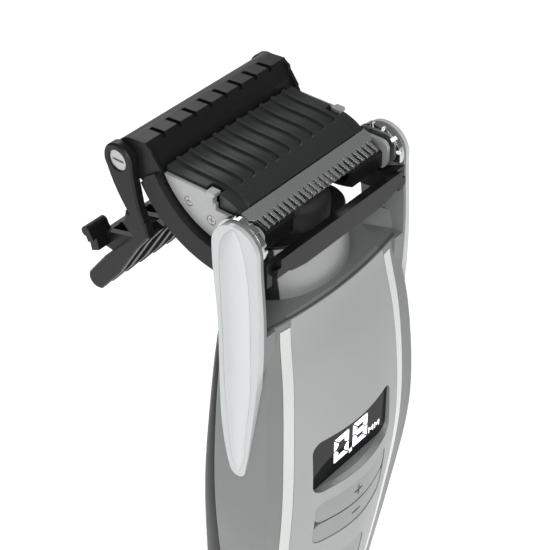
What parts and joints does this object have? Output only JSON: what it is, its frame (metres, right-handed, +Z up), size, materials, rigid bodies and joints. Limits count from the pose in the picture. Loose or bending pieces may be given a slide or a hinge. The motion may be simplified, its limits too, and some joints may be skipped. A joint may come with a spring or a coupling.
{
  "type": "beard trimmer",
  "caption": "Cordless beard trimmer with a tilting toothed head in a yoke, a display with length keys and a flip-over comb on a swinging carriage.",
  "frame": {"origin": "on the flat base face, straight below the head's tilt axis", "axes": "+Z up the handle towards the head, display towards -Y; looking at the display along +Y, +X is to the right"},
  "size_m": [0.0566, 0.0589, 0.1643],
  "materials": {
    "silver_panel": "satin metallic",
    "grey_shell": "satin moulded",
    "black_shell": "fine texture",
    "black_comb": "satin moulded",
    "chrome_trim": "polished plating",
    "white_arm": "gloss",
    "window": "gloss tinted",
    "display": "lit segments",
    "silver_key": "satin metallic",
    "blade_steel": "ground",
    "head_silver": "matte",
    "cover_grey": "satin moulded",
    "seal_rubber": "soft",
    "seal_grey": "soft",
    "steel": "plain",
    "board_green": "solder mask",
    "cell_sleeve": "shrink sleeve",
    "inner_white": "moulded"
  },
  "bodies": {
    "handle": {"main_shell": "grey_shell", "front_panel": "silver_panel", "rear_cover": "black_shell", "base_cap": "black_shell", "trim_strip_left": "chrome_trim", "trim_strip_right": "chrome_trim", "arm_cover_left": "white_arm", "arm_cover_right": "white_arm", "arm_inlay_left": "white_arm", "arm_inlay_right": "white_arm", "pivot_ring_left": "chrome_trim", "pivot_ring_right": "chrome_trim", "pivot_pins": "steel", "display_window": "window", "window_bezel": "grey_shell", "display_panel": "display", "case_screws": "steel", "charge_socket": "black_shell", "circuit_board": "board_green", "key_switches": "steel", "battery": "cell_sleeve", "cutting_motor": "steel", "comb_gearmotor": "steel", "motor_mount": "inner_white", "neck_front": "silver_panel", "neck_back": "black_shell", "deck_gasket": "seal_grey", "drive_boot": "seal_rubber"},
    "head": {"side_plate_left": "head_silver", "side_plate_right": "head_silver", "plate_screws": "steel", "comb_catches": "head_silver", "ribbed_cover": "cover_grey", "head_base": "black_comb", "fixed_blade": "blade_steel"},
    "blade": {"moving_blade": "blade_steel", "blade_yoke": "inner_white"},
    "drive": {"drive_shaft": "steel"},
    "carriage": {"carriage_side_left": "black_comb", "carriage_side_right": "black_comb", "rear_bar": "black_comb", "front_crossbar": "black_comb", "comb_hinge_pins": "steel"},
    "comb": {"comb": "black_comb"},
    "plus_button": {"plus_button": "silver_key"},
    "minus_button": {"minus_button": "silver_key"},
    "power_button": {"power_button": "silver_key"}
  },
  "joints": [
    {"name": "head_tilt", "type": "hinge", "parent": "handle", "child": "head", "pos_m": [0, 0, 0.151], "axis": [1, 0, 0], "range_deg": [-4, 4], "stiffness_Nm_per_rad": 0.25},
    {"name": "comb_adjust", "type": "hinge", "parent": "head", "child": "carriage", "pos_m": [0, 0.0031, 0.1674], "axis": [1, 0, 0], "range_deg": [-10, 0]},
    {"name": "comb_flip", "type": "hinge", "parent": "carriage", "child": "comb", "pos_m": [0, 0.031, 0.1588], "axis": [1, 0, 0], "range_deg": [0, 240]},
    {"name": "blade_slide", "type": "slide", "parent": "head", "child": "blade", "axis": [1, 0, 0], "range_m": [-0.0009, 0.0009]},
    {"name": "drive_spin", "type": "hinge", "parent": "handle", "child": "drive", "pos_m": [0, 0.0044, 0.12], "axis": [0, 0, 1], "continuous": true},
    {"name": "plus_press", "type": "slide", "parent": "handle", "child": "plus_button", "axis": [0, 1, 0], "range_m": [0, 0.0006], "stiffness_N_per_m": 400},
    {"name": "minus_press", "type": "slide", "parent": "handle", "child": "minus_button", "axis": [0, 1, 0], "range_m": [0, 0.0006], "stiffness_N_per_m": 400},
    {"name": "power_press", "type": "slide", "parent": "handle", "child": "power_button", "axis": [0, 1, 0], "range_m": [0, 0.0006], "stiffness_N_per_m": 400}
  ]
}
